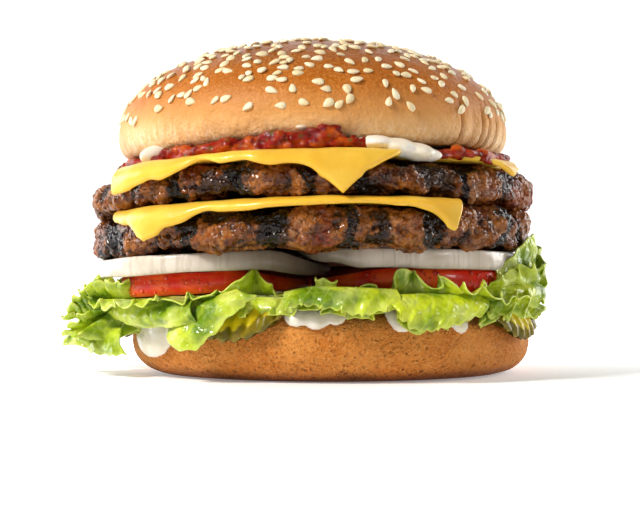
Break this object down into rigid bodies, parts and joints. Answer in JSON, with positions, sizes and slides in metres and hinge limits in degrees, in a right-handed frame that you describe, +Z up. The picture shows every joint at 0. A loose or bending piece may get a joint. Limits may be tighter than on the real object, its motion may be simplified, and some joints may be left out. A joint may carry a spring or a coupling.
{
  "type": "double cheeseburger",
  "caption": "Grilled cheeseburger in a seeded bun, stacked with sauce, cheese, onion, tomato, lettuce and pickle, standing on the flat underside of its heel.",
  "frame": {"origin": "The centre of the heel's flat underside, which the burger stands on.", "axes": "+Z is up. -Y is the front, where a corner of the upper cheese slice hangs down. +X is to the right as seen from the front."},
  "size_m": [0.1473, 0.1369, 0.0992],
  "materials": {
    "heel_crust": "matte golden crust with open pores",
    "crown_crust": "satin glazed crust with sesame seeds",
    "mayonnaise": "glossy cream",
    "pickle": "wet olive green",
    "lettuce": "crisp yellow green with pale ribs",
    "tomato": "wet red skin and flesh",
    "onion": "translucent white",
    "beef": "rough grilled mince with a greasy shine and dark char bars",
    "cheese": "soft satin yellow",
    "relish": "glossy dark red sauce"
  },
  "bodies": {
    "root": {"bun_heel": "heel_crust", "mayonnaise_lower": "mayonnaise", "pickle_left": "pickle", "pickle_front": "pickle", "pickle_right": "pickle", "lettuce_under_left": "lettuce", "lettuce_under_front": "lettuce", "lettuce_under_back": "lettuce", "lettuce_over_left": "lettuce", "lettuce_over_front": "lettuce", "lettuce_over_right": "lettuce", "lettuce_over_back": "lettuce", "tomato_left": "tomato", "tomato_right": "tomato", "tomato_back": "tomato", "onion_left": "onion", "onion_right": "onion", "onion_back": "onion", "patty_lower": "beef", "cheese_lower": "cheese", "patty_upper": "beef", "cheese_upper": "cheese", "relish": "relish", "mayonnaise_upper": "mayonnaise", "bun_crown": "crown_crust"}
  },
  "joints": []
}
